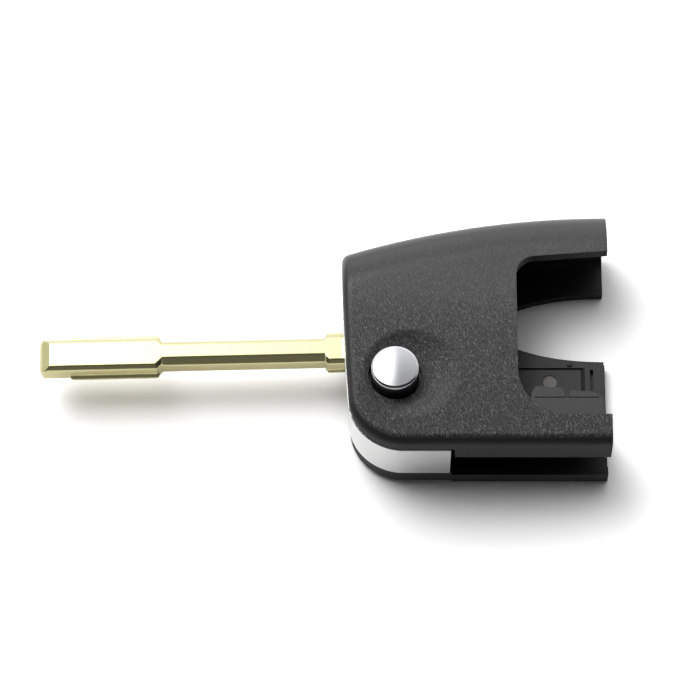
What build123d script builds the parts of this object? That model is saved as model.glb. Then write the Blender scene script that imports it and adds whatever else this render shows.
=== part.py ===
# Blade half of a flip key remote: a hollow two-part case, a die-cast rotor that carries
# a folding key blade, and a sprung release button on the pivot axis.
# Millimetres. The origin is the pivot axis where it meets the rest plane.
# +X points to the end that receives the remote half, +Y to the curved spine, +Z up.
# The blade is folded out, along -X.

import os
from math import atan2, cos, degrees, radians, sin, sqrt, tan

from build123d import *

# Case outline
case_height = 16.0
front_to_pivot = 11.3
tail_to_pivot = 32.65
nose_to_pivot = 8.2
corner_radius = 8.5
corner_centre_x = 1.4
nose_lean = 4.0  # degrees, where the nose leaves the front corner
wall_draft = 1.2  # degrees, front and nose walls drawn in towards the floor
spine_to_pivot = 28.5  # measured at the tail
spine_radius = 128.0
shoulder_width = 7.0
shoulder_drop = 5.0
shoulder_rim_radius = 3.7
keel_radius = 3.75
edge_radius = 1.4
lip_edge_radius = 0.7

# Case walls
wall = 1.6
floor_thickness = 1.6
roof_thickness = 1.9
guide_rib_thickness = 1.0
guide_rib_start_x = -2.0
fuse = 0.1  # how far a rib or boss runs into the wall that carries it

# Windows in the case wall
rotor_window_low = 4.05
rotor_window_cover = 3.02
blade_slot_low = 3.2
blade_slot_cover = 5.9
blade_slot_depth = 6.75
blade_slot_start = 8.7

# Release button and its thumb scoop
button_radius = 3.65
button_stand = 2.75
button_crown = 0.35
button_edge_radius = 0.55
button_cap_thickness = 1.4
button_travel = 2.4
button_hole_gap = 0.39
scoop_radius = 7.2
scoop_depth = 0.85
scoop_x = 2.4
scoop_y = 0.2
scoop_edge_radius = 2.5

# Rotor and pivot
rotor_front_x = 8.4
rotor_nose_end_y = 11.1
rotor_proud = 0.15
rotor_end_gap = 0.1
rotor_edge_bevel = 0.1
rotor_corner_radius = 0.6
rotor_barrel_radius = 7.9
rotor_arm_x = 1.2
sweep_gap = 0.17
bore_radius = 4.5
journal_gap = 0.1
journal_wall = 1.1
journal_clearance = 0.85
bearing_radius = 6.8
button_slide_gap = 0.15
flange_height = 3.1
flange_stop_gap = 0.1
lug_reach = 5.0
lug_width = 2.2
lug_gap = 0.15

# Return spring
spring_wire = 0.7
spring_radius = 2.6
spring_turns = 4.5
spring_seat_gap = 0.1
spring_side_gap = 0.2
post_radius = 1.8
post_stand = 2.5

# Key blade
blade_length = 46.95
blade_y = 7.48
blade_below_middle = 0.94
blade_root_seat = 0.75
blade_tilt = 1.43  # degrees, the slack of the opened blade towards the front
blade_height = 4.15
bevel_top_radius = 0.2
bevel_side_radius = 0.45
tip_length = 18.8
tip_width = 5.4
tip_bevel = 0.6
tip_low_bevel = 0.9
tip_corner_radius = 1.0
shoulder_cut = 0.8
nose_face_height = 1.4
nose_slope = 1.6
nose_edge_radius = 1.2
rail_proud = 0.55
rail_shelf = 0.75  # below the blade's middle at the front, above it at the back
rail_lip = 0.1
rail_setback = 4.6
rail_corner_radius = 0.55
neck_width = 4.0
neck_bevel = 1.0
neck_low_bevel = 0.9
collar_length = 3.15
collar_width = 5.1
collar_cut = 0.4
collar_rail_proud = 0.32
collar_rail_shelf = 1.0
collar_rail_setback = 0.3
collar_rail_corner_radius = 0.25
tang_length = 7.95
tang_width = 3.4
tang_height = 3.0
tang_gap = 0.03
pin_radius = 0.8
pin_bore = 0.45
pin_slit = 0.3
pin_from_nose = 3.95
pin_end_gap = 0.4

# Socket for the remote half
notch_x = 18.6
notch_front_y = -6.65
notch_back_y = 20.95
notch_back_slope = 4.6  # degrees
notch_front_radius = 7.5
notch_back_radius = 3.0
arch_centre_y = 14.3
arch_half_width = 6.1
arch_length = 17.4
ledge_drop = 1.0
ledge_thickness = 1.3
ledge_end_gap = 1.1
ledge_start_x = 20.4
ledge_slant_x = 31.3
ledge_step_y = -3.4
ledge_corner_y = -3.75
tab_step = 0.2
first_tab_points = [(20.6, -3.4), (25.7, -3.4), (25.3, -1.8), (21.3, -1.45), (20.6, -2.6)]
second_tab_points = [(26.2, -3.4), (31.3, -3.4), (29.8, -2.35), (26.5, -2.25)]
score_start_x = 21.0
score_end_x = 30.8
score_width = 0.24
score_depth = 0.45
web_back_y = -3.5
web_thickness = 0.9
web_end_gap = 0.3
upper_web_x = 24.0
upper_web_end_gap = 1.3

# Transponder pocket in the lower shell
rim_top = 2.7
rim_width = 1.3
bed_start_x = 18.0
bed_end_gap = 0.2
pocket_depth = 0.35
pocket_x = 19.2
pocket_end_x = 28.9
pocket_back_y = 7.2
pocket_ramp = 0.6
groove_x = 30.3
groove_width = 0.5
groove_front_y = -1.0
groove_back_y = 6.9
ejector_mark_radius = 1.15
ejector_mark_depth = 0.12
ejector_mark_place = (24.12, 4.96)
nub_radius = 0.42
nub_height = 0.35
nub_place = (27.16, 7.88)

# Pegs that hold the shells together
peg_radius = 1.0
peg_length = 3.0
peg_gap = 0.05
peg_end_gap = 0.3
peg_boss_radius = 2.0
peg_places = [(-4.3, 18.0), (11.5, 18.6)]
small_peg_radius = 0.7
small_peg_boss_radius = 1.4
small_peg_place = (16.9, 2.0)

# Worked-out sizes
front_y = -front_to_pivot
corner_centre_y = front_y + corner_radius
roof_z = case_height - roof_thickness
parting_height = case_height / 2
rotor_window_high = case_height - rotor_window_cover
blade_slot_high = case_height - blade_slot_cover
button_top = case_height + button_stand
spring_pocket_height = button_top - button_cap_thickness
ledge_top = case_height - ledge_drop
pocket_floor = rim_top - pocket_depth
rotor_low = rotor_window_low + rotor_end_gap
rotor_high = rotor_window_high - rotor_end_gap
rotor_reach = sqrt(rotor_front_x**2 + (front_to_pivot + rotor_proud) ** 2)
sweep_radius = rotor_reach + sweep_gap
flange_top = roof_z - flange_stop_gap
flange_low = flange_top - flange_height
flange_radius = bore_radius - button_slide_gap
lug_floor = flange_low - button_travel - lug_gap
journal_radius = bore_radius - journal_gap
journal_top = lug_floor - journal_clearance
hole_radius = button_radius + button_hole_gap
ring_bore_radius = lug_reach + 2 * lug_gap
slot_back_y = front_y + blade_slot_depth
web_front_y = web_back_y - web_thickness
blade_z = (rotor_window_low + rotor_window_high) / 2 - blade_below_middle
blade_root_x = blade_root_seat - nose_to_pivot
peg_hole_low = parting_height - peg_length - peg_end_gap
far = 60.0
touching = 0.01


def box(x0, x1, y0, y1, z0, z1):
    """Block between two corners."""
    return Pos((x0 + x1) / 2, (y0 + y1) / 2, (z0 + z1) / 2) * Box(x1 - x0, y1 - y0, z1 - z0)


def rod(radius, z0, z1, x=0.0, y=0.0):
    """Upright cylinder between two heights."""
    return Pos(x, y, (z0 + z1) / 2) * Cylinder(radius, z1 - z0)


def prism(points, z0, z1):
    """Closed polygon in plan, extruded between two heights."""
    face = make_face(Polyline(*points, close=True))
    return Pos(0, 0, z0) * extrude(face, z1 - z0)


def plan_outline(inset, tail_x):
    """Front, front corner and nose of the case outline, running on past the spine."""
    radius = corner_radius - inset
    front = front_y + inset
    low_end = 180 + nose_lean
    corner = CenterArc((corner_centre_x, corner_centre_y), radius, low_end, 90 - nose_lean)
    lean = radians(nose_lean)
    nose_end = (-nose_to_pivot + inset, spine_to_pivot)
    nose = TangentArc(corner @ 0, nose_end, tangent=(-sin(lean), cos(lean)))
    beyond = spine_to_pivot + wall
    outline = [
        corner,
        Line(corner @ 1, (tail_x, front)),
        Line((tail_x, front), (tail_x, beyond)),
        Line((tail_x, beyond), (nose_end[0], beyond)),
        Line((nose_end[0], beyond), nose @ 1),
        nose,
    ]
    return make_face(outline)


def plan_blank(inset, z0, z1, tail_x):
    """Upright block on the case outline."""
    return Pos(0, 0, z0) * extrude(plan_outline(inset, tail_x), z1 - z0)


def drafted_blank(inset):
    """Block on the case outline whose front and nose lean in towards the floor."""
    face = Pos(0, 0, case_height) * plan_outline(inset, far)
    return extrude(face, -case_height, taper=wall_draft)


def shoulder_arcs(rim, top, width, drop, rim_arc_radius):
    """Two tangent arcs from the upright rim to the flat top, tight first and wide after."""
    crown_radius = (width**2 + drop**2 - 2 * width * rim_arc_radius) / (2 * (drop - rim_arc_radius))
    turn = degrees(atan2(crown_radius - drop, width - rim_arc_radius))
    rim_arc = CenterArc((rim - rim_arc_radius, top - drop), rim_arc_radius, 0, turn)
    crown_arc = CenterArc((rim - width, top - crown_radius), crown_radius, turn, 90 - turn)
    return [rim_arc, crown_arc]


def spine_solid(inset, z0, z1):
    """Turned body whose rim is the curved spine, with a wide shoulder and a keel curve."""
    rim = spine_radius - inset
    hub = rim - far
    width = shoulder_width - inset
    drop = shoulder_drop - inset
    keel = keel_radius - inset
    profile = [
        Line((hub, z0), (rim - keel, z0)),
        CenterArc((rim - keel, z0 + keel), keel, 270, 90),
        Line((rim, z0 + keel), (rim, z1 - drop)),
        *shoulder_arcs(rim, z1, width, drop, shoulder_rim_radius - inset),
        Line((rim - width, z1), (hub, z1)),
        Line((hub, z1), (hub, z0)),
    ]
    face = Plane.XZ * make_face(profile)
    centre_y = spine_to_pivot - spine_radius
    return Pos(tail_to_pivot, centre_y, 0) * revolve(face, Axis.Z)


def case_block(inset, z0, z1, tail_x):
    """Closed body of the case, drawn in by inset on every side but the tail."""
    return plan_blank(inset, z0, z1, tail_x) & spine_solid(inset, z0, z1)


def outer_block():
    """Outside of the case with its nose and front edges rounded."""
    block = case_block(0, 0, case_height, tail_to_pivot) & drafted_blank(0)
    eased = []
    for edge in block.edges():
        middle = edge.center()
        along_tail = middle.X > tail_to_pivot - touching
        on_flat = abs(middle.Z) < touching or abs(middle.Z - case_height) < touching
        on_front = on_flat and middle.Y < corner_centre_y
        on_nose = middle.X < corner_centre_x + edge_radius / 2 - corner_radius
        seam = abs(edge.tangent_at(0.5).Z) > cos(radians(25)) and middle.Y < 0
        if not along_tail and not seam and (on_front or on_nose):
            eased.append(edge)
    return fillet(eased, edge_radius)


def notch_blank(z0, z1):
    """Upper socket notch, open to the tail."""
    open_x = tail_to_pivot + wall
    slope = sin(radians(notch_back_slope)) * (open_x - notch_x)
    points = [
        (notch_x, notch_front_y),
        (open_x, notch_front_y),
        (open_x, notch_back_y),
        (notch_x, notch_back_y - slope),
    ]
    blank = prism(points, z0, z1)
    uprights = blank.edges().filter_by(Axis.Z).sort_by(Axis.X)[:2].sort_by(Axis.Y)
    blank = fillet(uprights[0], notch_front_radius)
    uprights = blank.edges().filter_by(Axis.Z).filter_by(lambda e: e.center().X < notch_x + touching)
    return fillet(uprights.sort_by(Axis.Y)[-1], notch_back_radius)


def arch_blank(grow, z0, z1):
    """Lower socket notch: half an ellipse with its mouth at the tail."""
    half = Pos(tail_to_pivot, arch_centre_y) * Ellipse(arch_length + grow, arch_half_width + grow)
    return Pos(0, 0, z0) * extrude(half, z1 - z0)


def guide_rib(z0, z1):
    """Curved rib just outside the circle that the rotor sweeps."""
    reach = sweep_radius + guide_rib_thickness
    rib = rod(reach, z0, z1) - rod(sweep_radius - fuse, z0, z1)
    return rib & box(guide_rib_start_x, reach, web_front_y, reach, z0, z1)


def scooped(block):
    """Round thumb scoop round the button, its rim eased into the flat top."""
    ball_radius = (scoop_radius**2 + scoop_depth**2) / (2 * scoop_depth)
    ball = Pos(scoop_x, scoop_y, case_height - scoop_depth + ball_radius) * Sphere(ball_radius)
    dished = block - ball
    circles = dished.edges().filter_by(GeomType.CIRCLE)
    rim = circles.filter_by(lambda e: abs(e.radius - scoop_radius) < touching)
    return fillet(rim, scoop_edge_radius)


def ledge():
    """Tongue under the remote half's cover: a step, and two tabs past a score line."""
    low = ledge_top - ledge_thickness
    end_x = tail_to_pivot - ledge_end_gap
    root_y = notch_front_y - wall / 2
    plate_points = [
        (ledge_start_x, root_y),
        (end_x, root_y),
        (end_x, ledge_corner_y),
        (ledge_slant_x, ledge_step_y),
        (ledge_start_x, ledge_step_y),
    ]
    plate = prism(plate_points, low, ledge_top)
    first_tab = prism(first_tab_points, low, ledge_top - tab_step)
    second_tab = prism(second_tab_points, low, ledge_top - tab_step)
    score_floor = ledge_top - score_depth
    score_back = ledge_step_y + score_width / 2
    score_front = score_back - score_width
    score = box(score_start_x, score_end_x, score_front, score_back, score_floor, far)
    return plate + first_tab + second_tab - score


def upper_shell():
    """Top half of the case, with the button hole, thumb scoop and socket notch."""
    skin = scooped(outer_block()) & box(-far, far, -far, far, parting_height, far)
    skin -= case_block(wall, floor_thickness, roof_z, tail_to_pivot + far)
    root_z = roof_z + fuse
    skin += rod(bearing_radius, rotor_window_high, root_z)
    skin += guide_rib(parting_height, root_z)
    skin += box(sweep_radius, upper_web_x, web_front_y, web_back_y, parting_height, root_z)
    for x, y in peg_places:
        skin += rod(peg_boss_radius, parting_height, root_z, x, y)
    skin += rod(small_peg_boss_radius, parting_height, root_z, *small_peg_place)
    skin -= notch_blank(parting_height - 1, case_height + 1)
    web_end = tail_to_pivot - upper_web_end_gap
    skin += box(notch_x, web_end, web_front_y, web_back_y, parting_height, ledge_top - ledge_thickness)
    skin += ledge()
    skin -= rod(sweep_radius, rotor_window_low, rotor_window_high)
    skin -= blade_slot()
    skin -= rod(hole_radius, 0, case_height + 1)
    skin -= rod(ring_bore_radius, rotor_window_high - 1, roof_z)
    peg_low = parting_height - peg_length
    for x, y in peg_places:
        skin += rod(peg_radius, peg_low, parting_height + fuse, x, y)
    skin += rod(small_peg_radius, peg_low, parting_height + fuse, *small_peg_place)
    return skin


def blade_slot():
    """Space along the front wall that takes the folded blade, open to the tail."""
    return box(blade_slot_start, far, -far, slot_back_y, blade_slot_low, blade_slot_high)


def lower_lip():
    """Foot of the front wall below the blade slot, with a crisper edge than the nose."""
    lip_front_y = front_y + case_height * tan(radians(wall_draft))
    back_y = lip_front_y + edge_radius
    lip = box(blade_slot_start, tail_to_pivot, lip_front_y, back_y, 0, edge_radius)
    front_foot = lip.edges().filter_by(Axis.X).group_by(Axis.Z)[0].sort_by(Axis.Y)[0]
    return fillet(front_foot, lip_edge_radius)


def lower_shell():
    """Bottom half of the case, with the pivot journal, spring post and chip pocket."""
    skin = outer_block() & box(-far, far, -far, far, -far, parting_height)
    skin += lower_lip()
    skin -= case_block(wall, floor_thickness, roof_z, tail_to_pivot + far)
    root_z = floor_thickness - fuse
    skin += guide_rib(root_z, parting_height)
    web_end = tail_to_pivot - web_end_gap
    skin += box(sweep_radius, web_end, web_front_y, web_back_y, root_z, parting_height)
    for x, y in peg_places:
        skin += rod(peg_boss_radius, root_z, parting_height, x, y)
    skin += rod(small_peg_boss_radius, root_z, parting_height, *small_peg_place)
    skin += chip_bed(root_z)
    skin += arch_rim(root_z)
    skin -= arch_blank(0, -1, case_height)
    skin -= rod(sweep_radius, rotor_window_low, rotor_window_high)
    skin -= blade_slot()
    skin += rod(bearing_radius, root_z, rotor_window_low)
    skin += rod(journal_radius, floor_thickness, journal_top)
    well = rod(journal_radius - journal_wall, floor_thickness, far)
    skin -= well - rod(post_radius, floor_thickness, far)
    skin += rod(post_radius, journal_top - 1, journal_top + post_stand)
    for x, y in peg_places:
        skin -= rod(peg_radius + peg_gap, peg_hole_low, far, x, y)
    skin -= rod(small_peg_radius + peg_gap, peg_hole_low, far, *small_peg_place)
    return skin


def chip_bed(root_z):
    """Raised bed of the front prong: chip pocket, end groove, ejector mark and nub."""
    bed_end = tail_to_pivot - bed_end_gap
    bed = box(bed_start_x, bed_end, web_back_y - fuse, arch_centre_y, root_z, rim_top)
    pocket = box(pocket_x, pocket_end_x + pocket_ramp, web_back_y, pocket_back_y, pocket_floor, far)
    far_foot = pocket.faces().sort_by(Axis.Z)[0].edges().sort_by(Axis.X)[-1]
    bed -= chamfer(far_foot, pocket_depth, pocket_ramp)
    bed -= box(groove_x, groove_x + groove_width, groove_front_y, groove_back_y, floor_thickness, far)
    bed -= rod(ejector_mark_radius, pocket_floor - ejector_mark_depth, far, *ejector_mark_place)
    return bed + rod(nub_radius, rim_top - fuse, rim_top + nub_height, *nub_place)


def arch_rim(root_z):
    """Low rim that follows the arch of the lower notch."""
    rim = arch_blank(rim_width, root_z, rim_top)
    return rim & box(0, notch_x, -far, far, 0, far)


def rotor():
    """Blade carrier: the barrel on the pivot, the front block and the blade arm."""
    blank = drafted_blank(-rotor_proud)
    front_block = box(-far, rotor_front_x, -far, corner_centre_y, rotor_low, rotor_high)
    arm = box(-far, rotor_arm_x, corner_centre_y - 1, rotor_nose_end_y, rotor_low, rotor_high)
    plan = front_block + arm + rod(rotor_barrel_radius, rotor_low, rotor_high)
    carrier = blank & plan
    corner = carrier.edges().filter_by(Axis.Z).sort_by(Axis.Y)[:2].sort_by(Axis.X)[-1]
    carrier = fillet(corner, rotor_corner_radius)
    flats = carrier.faces().filter_by(Axis.Z)
    outline = flats[0].edges() + flats[-1].edges()
    carrier = chamfer(outline.filter_by(on_outside), rotor_edge_bevel)
    carrier -= rod(bore_radius, 0, far)
    half = lug_width / 2 + lug_gap
    reach = lug_reach + lug_gap
    carrier -= box(-reach, reach, -half, half, lug_floor, far)
    carrier -= blade_place() * tang(tang_gap)
    carrier -= blade_place() * collar(tang_gap)
    carrier -= rod(pin_radius, rotor_low + pin_end_gap, rotor_high + 1, *pin_place())
    return carrier


def on_outside(edge):
    """True for the edges that stand in the rotor window's mouth."""
    middle = edge.center()
    on_nose = middle.X < corner_centre_x + edge_radius - corner_radius
    return on_nose or middle.Y < front_y + corner_radius / 2


def blade_place():
    """Blade frame: its root face centre on the rotor's nose, X along the blade."""
    return Pos(blade_root_x, blade_y, blade_z) * Rot(0, 0, blade_tilt)


def pin_place():
    """Plan position of the retaining pin, in the tang's centre line."""
    angle = radians(blade_tilt)
    return (blade_root_x + pin_from_nose * cos(angle), blade_y + pin_from_nose * sin(angle))


def bar(width, bevel, low_bevel, x0, x1, gap=0.0):
    """Eight-sided bar along X, the same when turned half round; low_bevel is low at the front."""
    w = width / 2 + gap
    h = blade_height / 2 + gap
    points = [
        (-w, -h + low_bevel),
        (-w + low_bevel, -h),
        (w - bevel, -h),
        (w, -h + bevel),
        (w, h - low_bevel),
        (w - low_bevel, h),
        (-w + bevel, h),
        (-w, h - bevel),
    ]
    section = make_face(Polyline(*points, close=True))
    side_corners = section.vertices().filter_by(lambda v: abs(v.X) > w - touching)
    section = fillet(side_corners, bevel_side_radius)
    flat_corners = section.vertices().filter_by(lambda v: abs(v.Y) > h - touching)
    section = fillet(flat_corners, bevel_top_radius)
    return Pos(x0, 0, 0) * extrude(Plane.YZ * section, x1 - x0)


def tang(gap):
    """Flat tang that sits in the rotor, enlarged by gap for its pocket."""
    half_width = tang_width / 2 + gap
    half_height = tang_height / 2 + gap
    start = -collar_length
    return box(start, tang_length + gap, -half_width, half_width, -half_height, half_height)


def collar(gap=0.0):
    """Short collar at the root with its rails, enlarged by gap for its seat in the rotor."""
    block = bar(collar_width, tip_bevel, tip_low_bevel, -collar_length, 0, gap)
    block -= end_corners(-collar_length, -1, collar_width / 2, collar_cut)
    rail_start = collar_rail_setback - collar_length
    sides = rails(rail_start, 0, collar_width / 2, collar_rail_proud, collar_rail_shelf, gap)
    half = collar_width / 2 + collar_rail_proud + gap
    return block + (sides & rounded_plan(rail_start, far, half, collar_rail_corner_radius))


def end_corners(x_end, way, half_width, cut):
    """Cutter for an end's two corners: a slant in plan whose top and bottom edges are bevelled."""
    high = blade_height / 2 + fuse
    run = tip_bevel + fuse
    points = [
        (0, tip_bevel - blade_height / 2),
        (0, blade_height / 2 - tip_bevel),
        (-run, high),
        (far, high),
        (far, -high),
        (-run, -high),
    ]
    slant = Plane(origin=(x_end, cut - half_width, 0), x_dir=(way, -1, 0), z_dir=(-1, -way, 0))
    cutter = extrude(slant * make_face(Polyline(*points, close=True)), far, both=True)
    return cutter + Rot(180, 0, 0) * cutter


def rails(x0, x1, root, proud, drop, gap=0.0):
    """Side rails: a flat shelf and a slope, low at the front and high at the back."""
    out = root + proud + gap
    shelf = drop + gap
    lip_top = rail_lip - drop + gap
    points = [
        (-root, -shelf),
        (-out, -shelf),
        (-out, lip_top),
        (-root, lip_top + proud),
        (-root + fuse, lip_top + proud),
        (-root + fuse, -shelf),
    ]
    section = make_face(Polyline(*points, close=True))
    front_rail = Pos(x0, 0, 0) * extrude(Plane.YZ * section, x1 - x0)
    return front_rail + Rot(180, 0, 0) * front_rail


def rounded_plan(x0, x1, half_width, radius):
    """Upright block whose four corners are rounded in plan."""
    block = box(x0, x1, -half_width, half_width, -far, far)
    return fillet(block.edges().filter_by(Axis.Z), radius)


def nose_side_profile(tip_end, tip_root):
    """Tip seen from the side: a blunt end rounded into a slope up to the flats."""
    low = nose_face_height / 2
    top = blade_height / 2
    upper = [(tip_end, low), (tip_end + nose_slope, top), (tip_root, top)]
    lower = [(x, -z) for x, z in reversed(upper)]
    side = make_face(Polyline(*upper, *lower, close=True))
    end_corners = side.vertices().filter_by(lambda v: v.X < tip_end + touching)
    side = fillet(end_corners, nose_edge_radius)
    return extrude(Plane.XZ * side, tip_width, both=True)


def tip_plan(tip_end, tip_root, half_width):
    """Tip in plan: its two far corners rounded."""
    block = box(tip_end, tip_root, -half_width, half_width, -far, far)
    uprights = block.edges().filter_by(Axis.Z).group_by(Axis.X)
    return fillet(uprights[0], tip_corner_radius)


def blade_tip(tip_end, tip_root):
    """Thick end of the blade, with a rail on each side."""
    tip = bar(tip_width, tip_bevel, tip_low_bevel, tip_end, tip_root)
    tip &= tip_plan(tip_end, tip_root, tip_width / 2)
    tip &= nose_side_profile(tip_end, tip_root)
    tip -= end_corners(tip_root, 1, tip_width / 2, shoulder_cut)
    rail_start = tip_end + rail_setback
    rail_end = tip_root - shoulder_cut / 2
    rail_half = tip_width / 2 + rail_proud
    outline = rounded_plan(rail_start, rail_end, rail_half, rail_corner_radius)
    sides = rails(rail_start, rail_end, tip_width / 2, rail_proud, rail_shelf)
    return tip + (sides & outline)


def key_blade():
    """Square-section blade: thick railed tip, slim neck, collar and tang."""
    tip_end = -blade_length
    tip_root = tip_end + tip_length
    neck = bar(neck_width, neck_bevel, neck_low_bevel, tip_root - shoulder_cut, 0)
    stub = box(0, tang_length, -tang_width / 2, tang_width / 2, -tang_height / 2, tang_height / 2)
    blade = blade_place() * (blade_tip(tip_end, tip_root) + neck + collar() + stub)
    return blade - rod(pin_radius, 0, far, *pin_place())


def blade_pin():
    """Slotted spring pin through rotor and tang."""
    x, y = pin_place()
    low = rotor_low + pin_end_gap
    high = rotor_high - pin_end_gap
    tube = rod(pin_radius, low, high, x, y) - rod(pin_bore, 0, far, x, y)
    return tube - box(x, x + pin_radius + 1, y - pin_slit / 2, y + pin_slit / 2, 0, far)


def return_spring():
    """Coil that pushes the button up, from the well floor to the button's ceiling."""
    low = floor_thickness + spring_seat_gap + spring_wire / 2
    high = spring_pocket_height - spring_seat_gap - spring_wire / 2
    height = high - low
    path = Pos(0, 0, low) * Helix(height / spring_turns, height, spring_radius)
    section = Plane(origin=path @ 0, z_dir=path % 0) * RegularPolygon(spring_wire / 2, 6)
    return sweep(section, path=path)


def release_button():
    """Plated push button: domed cap, guide flange with two lugs, and spring pocket."""
    flange = rod(flange_radius, flange_low, flange_top)
    lugs = box(-lug_reach, lug_reach, -lug_width / 2, lug_width / 2, flange_low, flange_top)
    lugs &= rod(lug_reach, flange_low, flange_top)
    pocket = rod(spring_radius + spring_wire / 2 + spring_side_gap, 0, spring_pocket_height)
    return button_cap() + flange + lugs - pocket


def button_cap():
    """Turned cap: shallow dome, rounded edge and straight side."""
    dome_radius = (button_radius**2 + button_crown**2) / (2 * button_crown)
    dome_centre_z = button_top - dome_radius
    edge_x = button_radius - button_edge_radius
    edge_z = dome_centre_z + sqrt((dome_radius - button_edge_radius) ** 2 - edge_x**2)
    turn = degrees(atan2(edge_z - dome_centre_z, edge_x))
    low = flange_top - fuse
    profile = [
        Line((0, low), (button_radius, low)),
        Line((button_radius, low), (button_radius, edge_z)),
        CenterArc((edge_x, edge_z), button_edge_radius, 0, turn),
        CenterArc((0, dome_centre_z), dome_radius, turn, 90 - turn),
        Line((0, button_top), (0, low)),
    ]
    return revolve(Plane.XZ * make_face(profile), Axis.Z)


parts = {
    "upper_shell": upper_shell(),
    "lower_shell": lower_shell(),
    "blade_rotor": rotor(),
    "key_blade": key_blade(),
    "blade_pin": blade_pin(),
    "return_spring": return_spring(),
    "release_button": release_button(),
}

os.makedirs("parts", exist_ok=True)
for name, shape in parts.items():
    shape.label = name
    export_step(shape, f"parts/{name}.step")
    print(name, len(shape.solids()), round(shape.volume, 1))
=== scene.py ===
from math import radians

import bpy
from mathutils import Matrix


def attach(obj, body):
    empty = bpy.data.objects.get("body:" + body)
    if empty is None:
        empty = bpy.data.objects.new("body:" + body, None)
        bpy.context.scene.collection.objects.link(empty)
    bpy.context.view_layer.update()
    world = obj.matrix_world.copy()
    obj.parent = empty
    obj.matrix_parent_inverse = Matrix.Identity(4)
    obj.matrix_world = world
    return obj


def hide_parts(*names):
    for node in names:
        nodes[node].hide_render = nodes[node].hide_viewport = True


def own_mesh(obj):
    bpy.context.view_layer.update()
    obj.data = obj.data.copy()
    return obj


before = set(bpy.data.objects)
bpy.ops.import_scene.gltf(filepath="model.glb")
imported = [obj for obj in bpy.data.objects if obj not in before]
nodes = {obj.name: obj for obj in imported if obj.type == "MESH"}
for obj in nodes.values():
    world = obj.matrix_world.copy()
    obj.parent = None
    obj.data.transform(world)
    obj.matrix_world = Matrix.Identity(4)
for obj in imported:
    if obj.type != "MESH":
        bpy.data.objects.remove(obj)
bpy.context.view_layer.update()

mm = 0.001
print("frame loaded:", ", ".join(sorted(nodes)))


# a shader socket that takes part in Python sums
class Sock:
    def __init__(self, finish, socket):
        self.finish = finish
        self.socket = socket

    def other(self, name):
        return Sock(self.finish, self.socket.node.outputs[name])

    def __add__(self, value):
        return self.finish.maths("ADD", self, value)

    def __radd__(self, value):
        return self.finish.maths("ADD", value, self)

    def __sub__(self, value):
        return self.finish.maths("SUBTRACT", self, value)

    def __rsub__(self, value):
        return self.finish.maths("SUBTRACT", value, self)

    def __mul__(self, value):
        return self.finish.maths("MULTIPLY", self, value)

    def __rmul__(self, value):
        return self.finish.maths("MULTIPLY", value, self)

    def __truediv__(self, value):
        return self.finish.maths("DIVIDE", self, value)

    def __rtruediv__(self, value):
        return self.finish.maths("DIVIDE", value, self)

    def __pow__(self, value):
        return self.finish.maths("POWER", self, value)

    def __rpow__(self, value):
        return self.finish.maths("POWER", value, self)


# one procedural material, or the world's node tree
class Finish:
    def __init__(self, owner):
        self.owner = owner
        owner.use_nodes = True
        self.tree = owner.node_tree
        self.tree.nodes.clear()

    def node(self, kind, settings=None, inputs=None, out=0):
        made = self.tree.nodes.new(kind)
        for key, value in (settings or {}).items():
            setattr(made, key, value)
        for key, value in (inputs or {}).items():
            if isinstance(value, Sock):
                self.tree.links.new(value.socket, made.inputs[key])
            else:
                made.inputs[key].default_value = value
        return Sock(self, made.outputs[out]) if len(made.outputs) else None

    def maths(self, operation, first, second):
        return self.node("ShaderNodeMath", {"operation": operation}, {0: first, 1: second})

    def coords(self):
        return self.node("ShaderNodeTexCoord").other("Object")

    def axes(self, vector):
        split = self.node("ShaderNodeSeparateXYZ", inputs={0: vector})
        return split, split.other("Y"), split.other("Z")

    def facing(self):
        return self.axes(self.node("ShaderNodeNewGeometry").other("Normal"))

    # 1 for rays from the camera and for mirror and glass rays
    def looked(self):
        path = self.node("ShaderNodeLightPath")
        rays = [path.other("Is " + kind + " Ray") for kind in ("Camera", "Glossy", "Transmission")]
        return self.maths("MINIMUM", rays[0] + rays[1] + rays[2], 1.0)

    # coordinates in units of a grain of this size in mm, turned about Z
    def grain(self, vector, turn, size):
        settings = {"vector_type": "TEXTURE"}
        inputs = {"Vector": vector, "Rotation": (0, 0, radians(turn)), "Scale": [s * mm for s in size]}
        return self.node("ShaderNodeMapping", settings, inputs)

    def noise(self, vector, scale=1.0, detail=2.0):
        inputs = {"Vector": vector, "Scale": scale, "Detail": detail, "Roughness": 0.5}
        return self.node("ShaderNodeTexNoise", inputs=inputs)

    # 0 before low, 1 after high, with a soft ramp between
    def ease(self, value, low, high):
        settings = {"interpolation_type": "SMOOTHSTEP"}
        return self.node("ShaderNodeMapRange", settings, {0: value, 1: low, 2: high})

    # the same for a length, with its two limits in mm
    def rise(self, length, limits):
        return self.ease(length, limits[0] * mm, limits[1] * mm)

    # 0, then 1 from full to fade, then 0 again
    def hump(self, value, start, full, fade, end):
        return self.ease(value, start, full) * (1 - self.ease(value, fade, end))

    def mix(self, amount, first, second):
        settings = {"data_type": "RGBA"}
        return self.node("ShaderNodeMix", settings, {0: amount, 6: first, 7: second}, out=2)

    def bump(self, height, depth, normal=None):
        inputs = {"Height": height, "Strength": 1.0, "Distance": depth * mm}
        if normal:
            inputs["Normal"] = normal
        return self.node("ShaderNodeBump", inputs=inputs)

    # soft edges in the shading alone
    def rounded(self, radius):
        return self.node("ShaderNodeBevel", {"samples": 8}, {"Radius": radius * mm})

    def surface(self, inputs):
        shader = self.node("ShaderNodeBsdfPrincipled", inputs=inputs)
        self.node("ShaderNodeOutputMaterial", inputs={"Surface": shader})
        return self.owner


def newFinish(name):
    return Finish(bpy.data.materials.new(name))


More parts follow.
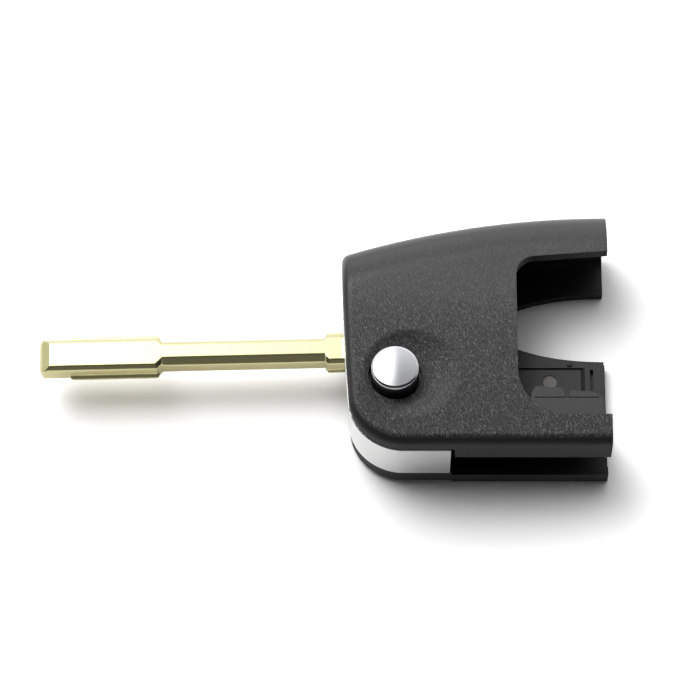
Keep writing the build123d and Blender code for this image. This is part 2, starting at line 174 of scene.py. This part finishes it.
# low where amount is 0, high where it is 1
def between(amount, low, high):
    return low + (high - low) * amount


# a colour that is lighter or darker by a share
def toned(colour, share):
    return [share * level for level in colour[:3]] + [1]


def paint(name, material):
    piece = nodes[name]
    piece.data.materials.clear()
    piece.data.materials.append(material)
    piece.data.shade_smooth()


# camera: a long lens above the front edge
cameraSet = {
    "place": (-6.7976 * mm, -254.857 * mm, 558.596 * mm),
    "tilt": 25.5,
    "lens": 204.27,
    "sensor": 36.0,
    "nearest": 10 * mm,
}
lensData = bpy.data.cameras.new("shotLens")
lensData.sensor_width = cameraSet["sensor"]
lensData.lens = cameraSet["lens"]
lensData.clip_start = cameraSet["nearest"]
shotCamera = bpy.data.objects.new("shotCamera", lensData)
shotCamera.location = cameraSet["place"]
shotCamera.rotation_euler = (radians(cameraSet["tilt"]), 0, 0)
bpy.context.scene.collection.objects.link(shotCamera)
bpy.context.scene.camera = shotCamera
bpy.context.scene.view_settings.view_transform = "Standard"
print("camera placed")


# case: black moulded plastic with fine slanted streaks on its outer top; lengths in mm
casePlastic = {
    "base": (0.005, 0.005, 0.0053, 1),  # outer top
    "back": (0.024, 0.024, 0.0245, 1),  # outer top towards the spine, lighter: painted sheen
    "backSheenFrom": (9, 21),
    "spark": (0.14, 0.14, 0.144, 1),  # lighter tips of the streaks: painted glint, partly the paler grained plastic
    "sparkFrom": (0.52, 0.72),
    "sparkPits": 0.2,  # how much of the sparks follows the pits
    "sparkLeast": 0.15,  # what stays of them at the back
    "tongueSpark": 0.25,
    "smooth": (0.011, 0.011, 0.0114, 1),  # walls and inside
    "deck": (0.026, 0.026, 0.0265, 1),  # tongue and tabs
    "deckFrom": (13.2, 13.6),
    "skinFrom": (14.6, 15.0),  # height at which the outer top begins
    "tongueDrop": 0.8,  # how much higher it begins beside the tongue
    "tongueFrom": (11, 12.5),
    "upward": (0.82, 0.985),  # slope at which a face counts as top
    "edge": (0.002, 0.002, 0.0021, 1),  # rounded front edge, darker: painted shade
    "edgeSlope": (0.15, 0.5, 0.8, 0.97),
    "edgeFacing": (-0.35, -0.1),
    "mark": (24.12, 4.96),  # lighter round spot in the pocket floor: painted highlight
    "markReach": (0.9, 1.2),
    "markBelow": (2.5, 2.7),
    "markSlope": (0.8, 0.95),
    "markFaint": 0.4,
    "markColour": (0.2, 0.19, 0.175, 1),
    "crown": 0.0017,
    "crownMiddle": 6,
    "streakTurn": -62,
    "streakSize": (0.48, 0.08, 0.3),
    "streakDepth": 0.1,
    "wallStreak": 0.06,  # share of the streaks that walls keep
    "calm": 0.25,  # share of them that stays at the back
    "calmFrom": (5, 20),
    "pitScale": 4200,
    "pitDepth": 0.012,
    "wallPits": 0.4,
    "patchScale": 120,
    "patchRoughness": 0.08,
    "roughness": 0.31,
    "wallRoughness": 0.7,  # front walls
    "wallFacing": (-0.3, 0.1),
    "specular": 0.31,
}


def makeCasePlastic(values):
    f = newFinish("casePlastic")
    where = f.coords()
    x, y, z = f.axes(where)
    ny, nz = f.facing()[1:]
    streak = f.noise(f.grain(where, values["streakTurn"], values["streakSize"]), detail=1)
    pits = f.noise(where, scale=values["pitScale"])
    patch = f.noise(where, scale=values["patchScale"])

    # where the outer top, the tongue and the quieter back are
    upward = f.ease(nz, *values["upward"])
    height = z - values["tongueDrop"] * mm * f.rise(x, values["tongueFrom"])
    skin = f.rise(height, values["skinFrom"]) * upward
    deck = f.rise(z, values["deckFrom"]) * upward
    soft = between(f.rise(y, values["calmFrom"]), 1, values["calm"])

    # a slight crown, then pits, then streaks
    amount = between(skin, values["wallStreak"], 1) * soft
    fall = (y - values["crownMiddle"] * mm) / mm
    normal = f.bump(fall * fall * -values["crown"], 1.0)
    normal = f.bump((pits - 0.5) * between(amount, values["wallPits"], 1), values["pitDepth"], normal)
    normal = f.bump((streak - 0.5) * amount, values["streakDepth"], normal)

    # the lighter round spot in the pocket floor is a painted highlight
    markX, markY = values["mark"]
    away = ((x - markX * mm) ** 2 + (y - markY * mm) ** 2) ** 0.5
    mark = (1 - f.rise(away, values["markReach"])) * (1 - f.rise(z, values["markBelow"]))
    mark = mark * f.ease(nz, *values["markSlope"]) * between(patch, values["markFaint"], 1)
    plain = f.mix(deck, values["smooth"], values["deck"])
    plain = f.mix(mark, plain, values["markColour"])
    # the top turns lighter towards the spine: painted sheen
    top = f.mix(f.rise(y, values["backSheenFrom"]), values["base"], values["back"])
    # the rounded front edge is darker: painted shade
    edge = f.hump(nz, *values["edgeSlope"]) * (1 - f.ease(ny, *values["edgeFacing"]))
    ground = f.mix(edge, f.mix(skin, plain, top), values["edge"])
    # lighter streak tips: painted glint, partly the paler grained plastic
    tips = f.ease(between(values["sparkPits"], streak, pits), *values["sparkFrom"])
    spark = tips * between(soft, values["sparkLeast"], 1) * between(values["tongueSpark"], skin, deck)

    wall = (1 - skin) * (1 - f.ease(ny, *values["wallFacing"]))
    roughness = between(wall, values["roughness"], values["wallRoughness"])
    return f.surface(
        {
            "Base Color": f.mix(spark, ground, values["spark"]),
            "Roughness": roughness + (patch - 0.5) * values["patchRoughness"],
            "Normal": normal,
            "Specular IOR Level": values["specular"],
        }
    )


plastic = makeCasePlastic(casePlastic)
paint("upper_shell", plastic)
paint("lower_shell", plastic)
print("case finished")


# rotor: satin silver paint
rotorPaint = {
    "colour": (0.64, 0.64, 0.635, 1),
    "deep": (0.57, 0.57, 0.565, 1),
    "cloudScale": 220,
    "metallic": 0.85,
    "roughness": 0.21,
    "flakeScale": 14000,
    "flakeRoughness": 0.15,
    "flakeDepth": 0.0015,
    "grainTurn": -62,
    "grainSize": (0.5, 0.11, 0.3),
    "grainDepth": 0.025,
}


def makeRotorPaint(values):
    f = newFinish("satinSilver")
    where = f.coords()
    flake = f.noise(where, scale=values["flakeScale"])
    cloud = f.noise(where, scale=values["cloudScale"], detail=3)
    grain = f.noise(f.grain(where, values["grainTurn"], values["grainSize"]))
    normal = f.bump(grain, values["grainDepth"])
    return f.surface(
        {
            "Base Color": f.mix(cloud, values["deep"], values["colour"]),
            "Metallic": values["metallic"],
            "Roughness": values["roughness"] + (flake - 0.5) * values["flakeRoughness"],
            "Normal": f.bump(flake, values["flakeDepth"], normal),
        }
    )


paint("blade_rotor", makeRotorPaint(rotorPaint))
print("rotor finished")


# key blade: pale gold plating, brushed along its length; its sides darker and warmer by painted shade
bladeMetal = {
    "bright": (0.61, 0.58, 0.31, 1),
    "warmToneAndShade": (0.46, 0.41, 0.215, 1),
    "sideSlope": (0.2, 0.9),
    "sideShade": 0.7,
    "cloudWarmth": 0.2,
    "cloudScale": 160,
    "cloudRoughness": 0.06,
    "edgeRadius": 0.35,
    "roughness": 0.2,
    "brushTurn": 1.3,
    "brushSize": (6.0, 0.05, 0.05),
    "brushRoughness": 0.1,
    "brushDepth": 0.0006,
}


def makeBladeMetal(values):
    f = newFinish("polishedBlade")
    where = f.coords()
    brush = f.noise(f.grain(where, values["brushTurn"], values["brushSize"]))
    cloud = f.noise(where, scale=values["cloudScale"], detail=3)
    # sides darker and warmer: painted shade, with a random tone from the cloud
    side = 1 - f.ease(f.facing()[2], *values["sideSlope"])
    toneAndShadeShare = side * values["sideShade"] + cloud * values["cloudWarmth"]
    streaky = values["roughness"] + (brush - 0.5) * values["brushRoughness"]
    return f.surface(
        {
            "Base Color": f.mix(toneAndShadeShare, values["bright"], values["warmToneAndShade"]),
            "Metallic": 1.0,
            "Roughness": streaky + (cloud - 0.5) * values["cloudRoughness"],
            "Normal": f.bump(brush, values["brushDepth"], f.rounded(values["edgeRadius"])),
        }
    )


paint("key_blade", makeBladeMetal(bladeMetal))
print("blade finished")


# button: chrome plated cap with faint rubbing marks; black below it, partly the plunger's own colour
# and partly painted shade in the hole
buttonChrome = {
    "colour": (0.55, 0.555, 0.57, 1),
    "worn": (0.49, 0.495, 0.515, 1),
    "wear": 0.3,
    "smearScale": 500,
    "smearMiddle": 0.4,
    "smearRoughness": 0.06,
    # black below the cap: the plunger's own colour, and painted shade in the hole
    "plungerAndShade": (0.008, 0.008, 0.008, 1),
    "platedFrom": (17.46, 17.54),
    "roughness": 0.13,
    "plungerRoughness": 0.4,
    "rubTurn": 35,
    "rubSize": (1.6, 0.04, 0.2),
    "rubDepth": 0.0002,
}


def makeButtonChrome(values):
    f = newFinish("chromePlate")
    where = f.coords()
    plated = f.rise(f.axes(where)[2], values["platedFrom"])
    rub = f.noise(f.grain(where, values["rubTurn"], values["rubSize"]))
    smear = f.noise(where, scale=values["smearScale"])
    chrome = f.mix(smear * values["wear"], values["colour"], values["worn"])
    gloss = values["roughness"] + (smear - values["smearMiddle"]) * values["smearRoughness"]
    return f.surface(
        {
            "Base Color": f.mix(plated, values["plungerAndShade"], chrome),
            "Metallic": plated,
            "Roughness": between(plated, values["plungerRoughness"], gloss),
            "Normal": f.bump(rub, values["rubDepth"]),
        }
    )


paint("release_button", makeButtonChrome(buttonChrome))
print("button finished")


# spring and pin: plain drawn steel
steelSet = {
    "spring": {"node": "return_spring", "slot": "spring_steel", "colour": (0.5, 0.5, 0.5, 1)},
    "pin": {"node": "blade_pin", "slot": "pin_steel", "colour": (0.42, 0.41, 0.4, 1)},
}
drawnSet = {"size": (0.1, 0.1, 1.2), "dark": 0.75, "roughness": 0.3, "spread": 0.2, "depth": 0.001}


def makeSteel(name, colour, values):
    f = newFinish(name + "Steel")
    drawn = f.noise(f.grain(f.coords(), 0, values["size"]))
    return f.surface(
        {
            "Base Color": f.mix(drawn, colour, toned(colour, values["dark"])),
            "Metallic": 1.0,
            "Roughness": values["roughness"] + (drawn - 0.5) * values["spread"],
            "Normal": f.bump(drawn, values["depth"]),
        }
    )


for steelName, part in steelSet.items():
    paint(part["node"], makeSteel(steelName, part["colour"], drawnSet))


# the coil shortens as the button goes down, so a copy of it stands for the node
def makeCoil(nodeName):
    coil = nodes[nodeName].copy()
    coil.data = nodes[nodeName].data.copy()
    coil.name = "springCoil"
    coil.parent = None
    bpy.context.scene.collection.objects.link(coil)
    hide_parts(nodeName)
    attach(coil, "case")
    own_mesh(coil)


makeCoil("return_spring")
print("steel finished")


# pale table, which looks whiter than the light that it throws back
tableSet = {
    "half": 4.0,
    "drop": 0.02 * mm,
    "colour": (0.97, 0.97, 0.97, 1),
    "deep": 0.985,
    "toneScale": 8,
    "seen": 1.22,
    "roughness": 0.9,
}


def makeTable(values):
    half = values["half"]
    corners = [(-half, -half), (half, -half), (half, half), (-half, half)]
    mesh = bpy.data.meshes.new("table")
    mesh.from_pydata([(x, y, -values["drop"]) for x, y in corners], [], [(0, 1, 2, 3)])
    table = bpy.data.objects.new("table", mesh)
    bpy.context.scene.collection.objects.link(table)
    f = newFinish("paleTable")
    tone = f.noise(f.coords(), scale=values["toneScale"], detail=1)
    pale = values["colour"]
    laid = f.mix(tone, pale, toned(pale, values["deep"]))
    colour = f.mix(f.looked(), laid, toned(pale, values["seen"]))
    inputs = {"Base Color": colour, "Roughness": values["roughness"], "Specular IOR Level": 0.0}
    mesh.materials.append(f.surface(inputs))


makeTable(tableSet)
print("table laid")


# soft studio light: a bright tent behind, a soft-edged key above it, a dim front
roomSet = {
    "sides": {"top": 0.5, "back": 2.1, "left": 0.6, "right": 0.6},
    "frontEdge": (-0.1, 0.06),
    "front": 0.22,
    "key": 9.0,
    "keyAcross": (-1.4, -0.36, -0.35, 0.08),  # starts, full, fades, ends
    "keyBack": (-0.15, 0.42, 0.65, 1.2),
    "keyAbove": (0.03, 0.12),
    "flattest": 0.02,
    "seen": 1.0,
}


def makeRoom(values):
    room = bpy.data.worlds.new("room")
    bpy.context.scene.world = room
    f = Finish(room)
    x, y, z = f.axes(f.node("ShaderNodeTexCoord").other("Generated"))
    ways = {"top": z, "back": y, "left": x * -1.0, "right": x}
    level = 0.0
    for name, way in ways.items():
        level = f.maths("MAXIMUM", way, 0.0) ** 2 * values["sides"][name] + level
    front = f.maths("MAXIMUM", y * -1.0, 0.0) ** 2 * values["front"]
    level = level * f.ease(y, *values["frontEdge"]) + front
    height = f.maths("MAXIMUM", z, values["flattest"])
    key = f.ease(z, *values["keyAbove"]) * values["key"]
    for way, name in ((x / height, "keyAcross"), (y / height, "keyBack")):
        key = key * f.hump(way, *values[name])
    camera = f.node("ShaderNodeLightPath").other("Is Camera Ray")
    strength = between(camera, level + key, values["seen"])
    sky = f.node("ShaderNodeBackground", inputs={"Color": (1, 1, 1, 1), "Strength": strength})
    f.node("ShaderNodeOutputWorld", inputs={"Surface": sky})


makeRoom(roomSet)
print("light set")
